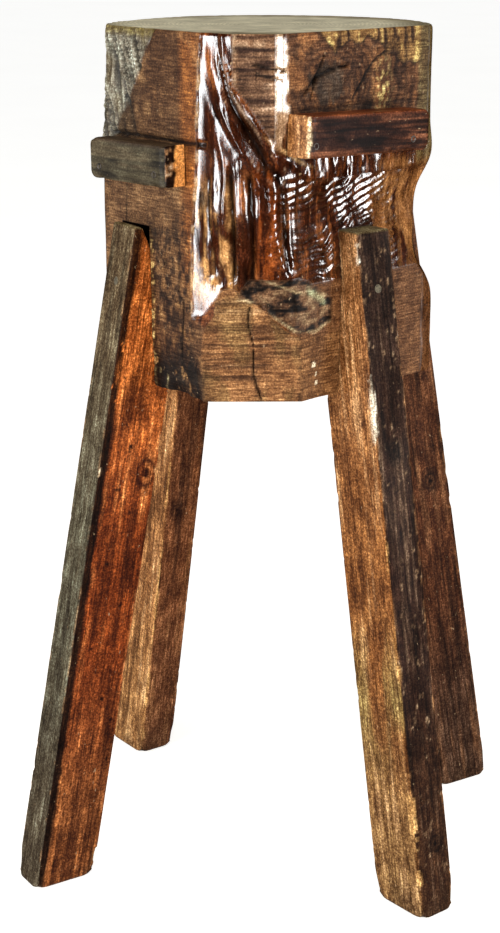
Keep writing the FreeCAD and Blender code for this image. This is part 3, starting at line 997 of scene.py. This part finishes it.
LEG_FACES = {"outer": (0, 1), "inner": (0, -1), "right": (1, 1), "left": (1, -1)}
LEG_CELLS = (30, 20, 300)
LEG_ROUNDING = 1.7       # mm, as are the next two
FOOT_LIFT = 5.0          # how far wear has raised the corners of a foot
SLANT_START = 7.0        # how far in from the outer face a slanted top begins


def chipped(points, half, foot, chips, ragged):
    """Where arrises are freshly chipped: (X side, Y side, height up the leg, reach, width)."""
    mask = np.zeros(len(points))
    for x_side, y_side, height, reach, width in chips:
        gap = np.hypot(half[0] - x_side * points[:, 0], half[1] - y_side * points[:, 1])
        along = np.abs(points[:, 2] - foot - height) / reach + 0.4 * ragged
        here = ramp(along, 1.0, 0.8) * ramp(gap, width * (1 + 0.4 * ragged), width * 0.6)
        mask = np.maximum(mask, here)
    return mask


def leg(name, style, material):
    """A worn square-edged leg, level at its foot; slant is how steeply its top falls inwards."""
    timber = leg_timber(name)
    outward, across, along = timber.axes
    half = timber.half
    low, high = (corner.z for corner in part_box(timber.node))
    lattice, quads = box_lattice(*LEG_CELLS)
    local, normals = rounded(lattice, half, LEG_ROUNDING)
    level = local[:, 0] * MM * outward.z + local[:, 1] * MM * across.z + timber.centre.z
    bottom = (low - level) / along.z / MM
    top = (high - level) / along.z / MM
    top -= style["slant"] * np.maximum(half[0] - SLANT_START - local[:, 0], 0)
    local[:, 2] = bottom + (top - bottom) * np.clip(local[:, 2] / half[2] * 0.5 + 0.5, 0, 1)
    foot = bottom.mean()
    wear = Wear(local, half, style["seed"])
    chip = chipped(local, half, foot, style["chips"], wear.nicks)
    near_foot = ramp(local[:, 2] - bottom, 30, 0)
    wear.depth += 1.5 * chip + near_foot * ramp(wear.edge, 12, 0) * (1.6 + 3.0 * np.abs(wear.dents))
    local[:, 2] += FOOT_LIFT * ramp(wear.edge, 8, 0) * ramp(local[:, 2] - bottom, 9, 0)
    level_normals = normals * np.array([1, 1, 0])
    shaped = local - level_normals * wear.depth[:, None]

    colour = np.zeros((len(local), 3))
    height = (local[:, 2] - foot) / 600
    for face, (axis, sign) in LEG_FACES.items():
        upper, middle, lower, dark, light = style[face]
        tone = layered(
            coat(middle, len(local)),
            (upper, ramp(height, 0.55, 0.95)),
            (lower, ramp(height, 0.4, 0.08)),
            (dark, ramp(wear.streak + 0.7 * wear.patch, 0.0, -1.0) * 0.75),
            (light, ramp(wear.streak + 0.6 * wear.patch, 0.25, 1.1) * 0.55))
        for knot_face, up, across_at, size in style["knots"]:
            if knot_face != face:
                continue
            beside = local[:, 1 - axis] - across_at
            gap = np.hypot(beside / size, (local[:, 2] - foot - up) / size / 1.35)
            rings = 0.5 + 0.5 * np.sin(11 * gap + 1.5 * wear.dents)
            tone = layered(tone, (dark, ramp(gap, 1.5, 0.9) * (0.35 + 0.6 * rings)))
            tone = blend_to(tone, 0.6 * linear(dark), ramp(gap, 0.35, 0.2))
        facing = sign * normals[:, axis] > 0.7
        colour[facing] = tone[facing]
    colour = layered(colour, ((176, 122, 76), 0.5 * wear.rubbed * ramp(wear.nicks, 0.1, 0.5)))
    if style["dark_arris"]:
        x_side, y_side = style["dark_arris"]
        strip = ramp(half[0] - x_side * local[:, 0], 9 + 3 * wear.nicks, 6.5)
        strip *= y_side * normals[:, 1] > 0.7
        colour = layered(colour, ((14, 5, 2), 0.95 * strip * ramp(wear.patch, 1.0, 0.4)))
    if name == "front_right":
        flecks = ramp(stretched(local, (3.2, 3.2, 7), 3, 233), 0.65, 1.0) * (normals[:, 0] > 0.7)
        stain = bell(local[:, 2] - foot - 190, 55) * (normals[:, 1] < -0.7) * ramp(wear.patch, -0.4, 0.3)
        colour = layered(colour, ((150, 118, 88), 0.6 * flecks), ((128, 108, 62), 0.7 * stain))
    chip_tone = layered(coat((208, 158, 98), len(local)), ((226, 212, 190), ramp(height, 0.62, 0.7)))
    dirt = ramp(local[:, 2] - bottom, 50, 0) * ramp(wear.patch, -0.3, 0.5)
    colour = layered(
        blend_to(colour, chip_tone, 0.9 * chip * ramp(wear.nicks, -0.6, -0.1)),
        ((112, 96, 66), ramp(normals[:, 2], 0.5, 0.9)),
        ((60, 44, 30), ramp(normals[:, 2], -0.5, -0.9)),
        ((48, 32, 20), 0.5 * dirt))
    gloss = np.clip(0.42 + 0.5 * wear.patch, 0, 0.8) * (1 - chip)
    obj = new_object("timber_leg_" + name, timber.to_world(shaped), quads, colour, gloss, shaped * MM)
    finish_piece(obj, material, timber.node)
    return timber


# Bars: the colour, dark streaks and light streaks of the long faces and of the torn end, the
# colour that rises to the upper edge, and how glossy the varnish is
BAR_STYLES = {
    "left": {
        "seed": 311, "slot": "weathered_bar", "shine": 0.25, "rise": (62, 46, 32),
        "face": ((66, 58, 42), (36, 30, 21), (90, 78, 58)),
        "end": ((132, 92, 58), (30, 14, 6), (214, 182, 150))},
    "right": {
        "seed": 317, "slot": "dark_bar", "shine": 0.6, "rise": (98, 48, 24),
        "face": ((42, 19, 10), (14, 4, 2), (104, 60, 38)),
        "end": ((146, 96, 54), (84, 44, 14), (200, 150, 102))},
}
BAR_CELLS = (18, 28, 96)
BAR_ROUNDING = 1.4
BAR_CORNER = 8.0         # the two corners at a bar's outer end are rounded off


def bar(name, style, material):
    """A grip bar with a torn inner end and two rounded corners at its outer end."""
    timber = bar_timber(name)
    half = timber.half
    lattice, quads = box_lattice(*BAR_CELLS)
    p, normals = rounded(lattice, half, BAR_ROUNDING)
    # the outer end is the one that lies further back
    outer = 1 if timber.axes[2].y > 0 else -1
    core_y = np.clip(p[:, 1], BAR_CORNER - half[1], half[1] - BAR_CORNER)
    core_z = np.minimum(p[:, 2] * outer, half[2] - BAR_CORNER)
    away = np.column_stack([p[:, 1] - core_y, p[:, 2] * outer - core_z])
    squeeze = np.abs(away).max(axis=1) / np.maximum(np.hypot(*away.T), 1e-9)
    squeeze = np.where(np.abs(away).min(axis=1) > 1e-6, squeeze, 1)
    p[:, 1] = core_y + away[:, 0] * squeeze
    p[:, 2] = (core_z + away[:, 1] * squeeze) * outer
    wear = Wear(p, half, style["seed"])
    torn = ramp(-p[:, 2] * outer, half[2] - 8, half[2] - 0.5)
    arris = torn * ramp(p[:, 0], half[0] - 5, half[0])
    bites = fractal(p / 6.0, 2, style["seed"] + 40)
    shaped = p - normals * (wear.depth + arris * (1.4 + 1.6 * bites))[:, None]

    body, dark, light = style["face"]
    cloud = wear.streak + stretched(p, (12, 12, 26), 3, style["seed"] + 27)
    colour = layered(
        coat(body, len(p)),
        (dark, ramp(cloud, 0.1, -0.9)),
        (light, ramp(cloud, 0.3, 1.1) * 0.85),
        (style["rise"], 0.85 * ramp(p[:, 1], half[1] - 5, half[1] - 1)),
        (light, 0.7 * bell(p[:, 1] + half[1] - 1, 1.2) * (normals[:, 0] > 0.3)))
    body, dark, light = style["end"]
    upright = stretched(p, (1.5, 22, 9), 2, style["seed"] + 33)
    end = layered(
        coat(body, len(p)),
        (light, ramp(upright, 0.1, 0.7) * 0.8),
        (dark, ramp(upright, -0.1, -0.7) * 0.8))
    if name == "left":
        broken = ramp(p[:, 0], -1.0 + 3 * bites, 2.0 + 3 * bites)
        # the torn end: a fresh orange strip, then a dark broken part with pale painted highlights on it
        end = layered(
            end,
            ((214, 142, 74), 0.9 * (1 - broken)),
            ((24, 11, 6), broken * ramp(bites, 0.3, -0.05)),
            ((206, 180, 152), broken * ramp(bites, 0.3, 0.65) * 0.8))
    on_end = ramp(-normals[:, 2] * outer, 0.45, 0.75)
    colour = blend_to(colour, end, on_end)
    if name == "right":
        colour = layered(colour, ((226, 200, 162), 0.95 * ramp(arris + 0.3 * bites, 0.5, 0.7)))
    gloss = np.clip(style["shine"] + 0.3 * wear.patch + 0.4 * on_end * (name == "left"), 0, 0.9)
    obj = new_object("timber_bar_" + name, timber.to_world(shaped), quads, colour, gloss, shaped * MM)
    finish_piece(obj, material, timber.node)


def finish_piece(obj, material, node):
    """Give a piece its material and let it stand for its CAD node."""
    obj.data.materials.append(material)
    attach(obj, "root")
    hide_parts(node)


# ------------------------------------------------------------------ fasteners
def turned(name, profile, start, direction, segments=40):
    """Closed solid turned from (radius, height) points in mm, from low to high, about a line
    from start along direction."""
    turn = direction.to_track_quat("Z", "Y").to_matrix()
    angles = np.linspace(0, 2 * np.pi, segments, endpoint=False)
    rim = np.column_stack([np.cos(angles), np.sin(angles), np.zeros(segments)])
    inner = profile[1:-1]
    local = [rim * radius + np.array([0, 0, height]) for radius, height in inner]
    local += [np.array([[0, 0, profile[0][1]]]), np.array([[0, 0, profile[-1][1]]])]
    local = np.concatenate(local) * MM
    index = np.arange(len(inner) * segments).reshape(len(inner), segments)
    around = np.roll(index, -1, axis=1)
    faces = list(np.stack([index[:-1], around[:-1], around[1:], index[1:]], -1).reshape(-1, 4))
    first, last = np.full(segments, len(local) - 2), np.full(segments, len(local) - 1)
    faces += list(np.stack([first, around[0], index[0]], -1))
    faces += list(np.stack([last, index[-1], around[-1]], -1))
    places = local @ np.array(turn.transposed()) + np.array(start)
    return new_object(name, places, faces, linear((120, 112, 90)), 0.0)


def longest_line(node):
    """Both ends of a slender CAD node's centre line."""
    points = np.array([v.co for v in frame["nodes"][node].data.vertices])
    middle = points.mean(0)
    axis = np.linalg.svd(points - middle, full_matrices=False)[2][0]
    reach = (points - middle) @ axis
    return Vector(middle + axis * reach.min()), Vector(middle + axis * reach.max())


def bar_nail(side, which, material):
    """A round wire nail with a dished head."""
    node = "bar_nail_" + side + "_" + which
    face, tip = sorted(longest_line(node), key=lambda p: -(p - LOG_AXIS).xy.length)
    length = (tip - face).length / MM
    profile = [(0, 0.1 - length), (0.2, 0.2 - length), (1.45, 5 - length), (1.45, -1.9), (1.6, -1.3),
               (3.15, -0.8), (3.15, -0.3), (2.9, -0.05), (2.3, -0.05), (1.9, -0.2), (1.1, -0.5), (0, -0.55)]
    nail = turned("nail_" + side + "_" + which, profile, face, (face - tip).normalized())
    finish_piece(nail, material, node)


def screw_plug(name, outward, material):
    """Knife-smoothed spot of filler, a little proud of the worn wood round it."""
    node = "screw_plug_" + name
    low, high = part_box(node)
    (inner, outer), = spans_along(node, [outward])
    half = (outer - inner) / 2 / MM
    profile = [(0, -half), (4.2, -half), (4.45, 1 - half), (4.4, half - 0.45), (4.1, half - 0.2),
               (3.2, half - 0.08), (2.0, half - 0.02), (0.9, half - 0.05), (0, half - 0.05)]
    plug = turned("filler_" + name, profile, (low + high) / 2, outward)
    finish_piece(plug, material, node)


# ------------------------------------------------------------------ notches
NOTCH_GAP = 0.15         # mm on each side of a leg
NOTCH_HEADROOM = 0.4     # mm over its top
# the notch walls get a dark brown: painted shade in the gaps round each leg's top
NOTCH_SHADE_PAINT = (52, 32, 18)
SHARP_EDGE = math.radians(55)


def cut_notch(log, timber):
    """Cut a leg's seat out of the log, a hair wider than the leg and level at its top."""
    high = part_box(timber.node)[1].z / MM + NOTCH_HEADROOM
    corners = np.array([(x, y, z) for z in (-1, 1) for y in (-1, 1) for x in (-1, 1)])
    places = timber.to_world(corners * (timber.half + np.array([NOTCH_GAP, NOTCH_GAP, 0]))) / MM
    along = np.array(timber.axes[2])
    upper = corners[:, 2] > 0
    places[upper] += ((high - places[upper, 2]) / along[2])[:, None] * along
    faces = [(0, 2, 3, 1), (4, 5, 7, 6), (0, 1, 5, 4), (2, 6, 7, 3), (0, 4, 6, 2), (1, 3, 7, 5)]
    # the cutter's faces become the notch walls, painted with painted shade
    cutter = new_object("cutter", places * MM, faces, linear(NOTCH_SHADE_PAINT), 0.0)
    for material in log.data.materials:
        cutter.data.materials.append(material)
    cutter.data.polygons.foreach_set("material_index", [NOTCH] * len(faces))
    cutter.data.shade_flat()
    cut = log.modifiers.new("notch", "BOOLEAN")
    cut.operation = "DIFFERENCE"
    cut.solver = "EXACT"
    cut.object = cutter
    bpy.context.view_layer.update()
    made = bpy.data.meshes.new_from_object(log.evaluated_get(bpy.context.evaluated_depsgraph_get()))
    log.modifiers.clear()
    log.data = made
    bpy.data.objects.remove(cutter)


def mend_notch_edges(log):
    """Give the points that the cuts made a dark paint of painted shade and their own coordinates, and keep
    the cut edges sharp."""
    mesh = log.data
    made = {index for face in mesh.polygons if face.material_index == NOTCH for index in face.vertices}
    for index in made:
        mesh.attributes["paint"].data[index].color = (*linear(NOTCH_SHADE_PAINT), 1)
        mesh.attributes["own"].data[index].vector = mesh.vertices[index].co
    mesh.set_sharp_from_angle(angle=SHARP_EDGE)


# ------------------------------------------------------------------ build
def build_table():
    nail_steel = speckled_material("dull_nail_steel", 900, (110, 102, 96), (44, 38, 34), (0.35, 0.65), 1.0)
    screw_steel = speckled_material("plated_screw_steel", 900, (190, 188, 180), (120, 118, 112),
                                    (0.25, 0.5), 1.0)
    plug_filler = speckled_material("wood_filler", 700, (112, 102, 78), (58, 50, 36), (0.7, 0.8), 0.0, 0.5)

    log = log_skin()
    varnished, sawn = wood_material("varnished_log_wood"), wood_material("sawn_log_wood")
    # dark material of painted shade for the notch walls
    shaded_wood = speckled_material("notch_shade_wood", 500, (50, 31, 18), (24, 13, 7), (0.8, 0.9), 0.0, 0.4)
    for material in (varnished, end_grain_material(), sawn, shaded_wood):
        log.data.materials.append(material)
    leg_wood = wood_material("stained_timber_wood")
    for name, style in LEG_STYLES.items():
        timber = leg(name, style, leg_wood)
        cut_notch(log, timber)
        screw_plug(name, timber.axes[0], plug_filler)
        frame["nodes"]["leg_screw_" + name].material_slots[0].material = screw_steel
    mend_notch_edges(log)
    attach(log, "root")
    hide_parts("log_block")
    for name, style in BAR_STYLES.items():
        bar(name, style, wood_material(style["slot"] + "_wood"))
        for which in ("near", "far"):
            bar_nail(name, which, nail_steel)


# ------------------------------------------------------------------ stage, light and camera
CAMERA_FROM_AXIS = Vector((0.3248, -1.6401, 0.875))      # metres
CAMERA_PITCH = 16.82     # degrees down, then degrees to the left
CAMERA_TURN = 11.75
CAMERA_LENS = 70.765
FLOOR_REACH = 40.0       # metres, so that the floor fills the view
FLOOR_DROP = 0.0005      # metres under the feet
# Softboxes: bearing, distance, height, width, tall (m), radiance, colour; the cards only make
# highlights and the others light the wood
SOFTBOXES = {
    "left_card": (-61, 2.4, 0.75, 0.62, 1.4, 17, (0.96, 0.985, 1.0)),
    "swirl_card": (-21, 2.4, 0.75, 0.32, 1.3, 17, (0.96, 0.985, 1.0)),
    "right_card": (82, 2.3, 0.8, 0.42, 1.3, 26, (1.0, 0.995, 0.985)),
    "left_fill": (-40, 2.4, 1.0, 1.0, 1.4, 6, (1.0, 0.93, 0.78)),
    "right_fill": (52, 2.4, 1.0, 1.0, 1.4, 6, (1.0, 0.93, 0.78)),
    "overhead": (10, 1.2, 2.6, 1.6, 1.6, 3.4, (1.0, 0.97, 0.89)),
}
WORLD_LIGHT = 0.32       # on the table
BACKDROP_LIGHT = 1.3     # as the camera sees it


def make_stage():
    square = ((-1, -1), (1, -1), (1, 1), (-1, 1))
    corners = [(x * FLOOR_REACH, y * FLOOR_REACH, -FLOOR_DROP) for x, y in square]
    floor = new_object("studio_floor", corners, [(0, 1, 2, 3)], (0.85, 0.85, 0.85), 0.0)
    material, tree, shader = nodes_of("pale_floor")
    place = add(tree, "ShaderNodeTexCoord").outputs["Object"]
    cloud = scaled_noise(tree, place, (2, 2, 2), 2)
    pale = mixed(tree, "MIX", cloud, (0.86, 0.86, 0.85), (0.83, 0.83, 0.82))
    link(tree, pale, shader.inputs["Base Color"])
    link(tree, pale, shader.inputs["Emission Color"])
    shader.inputs["Emission Strength"].default_value = 0.85
    shader.inputs["Roughness"].default_value = 0.9
    floor.data.materials.append(material)
    floor.visible_glossy = False     # varnish mirrors only the cards, so darks stay deep
    world = bpy.data.worlds.new("pale_studio")
    world.use_nodes = True
    tree = world.node_tree
    seen = add(tree, "ShaderNodeLightPath").outputs["Is Camera Ray"]
    level = remap(tree, seen, 0, 1, WORLD_LIGHT, BACKDROP_LIGHT)
    link(tree, level, tree.nodes["Background"].inputs["Strength"])
    tree.nodes["Background"].inputs["Color"].default_value = (1, 1, 1, 1)
    world.cycles_visibility.glossy = False
    bpy.context.scene.world = world


def softbox(name, bearing, distance, height, width, tall, radiance, colour):
    """A rectangular soft light that looks at the middle of the table."""
    light = bpy.data.lights.new(name, "AREA")
    light.shape = "RECTANGLE"
    light.size, light.size_y = width, tall
    light.energy = radiance * width * tall * math.pi
    light.color = colour
    obj = bpy.data.objects.new(name, light)
    bpy.context.scene.collection.objects.link(obj)
    obj.visible_diffuse = not name.endswith("card")
    obj.visible_glossy = name.endswith("card")
    obj.location = LOG_AXIS.xy.to_3d() + unit(bearing) * distance + Vector((0, 0, height))
    obj.rotation_euler = (Vector((0, 0, 0.5)) - obj.location).to_track_quat("-Z", "Y").to_euler()


def make_camera():
    camera = bpy.data.objects.new("camera", bpy.data.cameras.new("camera"))
    bpy.context.scene.collection.objects.link(camera)
    camera.data.lens = CAMERA_LENS
    camera.location = LOG_AXIS.xy.to_3d() + CAMERA_FROM_AXIS
    camera.rotation_euler = (math.radians(90 - CAMERA_PITCH), 0, math.radians(CAMERA_TURN))
    bpy.context.scene.camera = camera


build_table()
make_stage()
for light_name, settings in SOFTBOXES.items():
    softbox(light_name, *settings)
make_camera()
bpy.context.scene.view_settings.view_transform = "Standard"

bpy.context.view_layer.update()
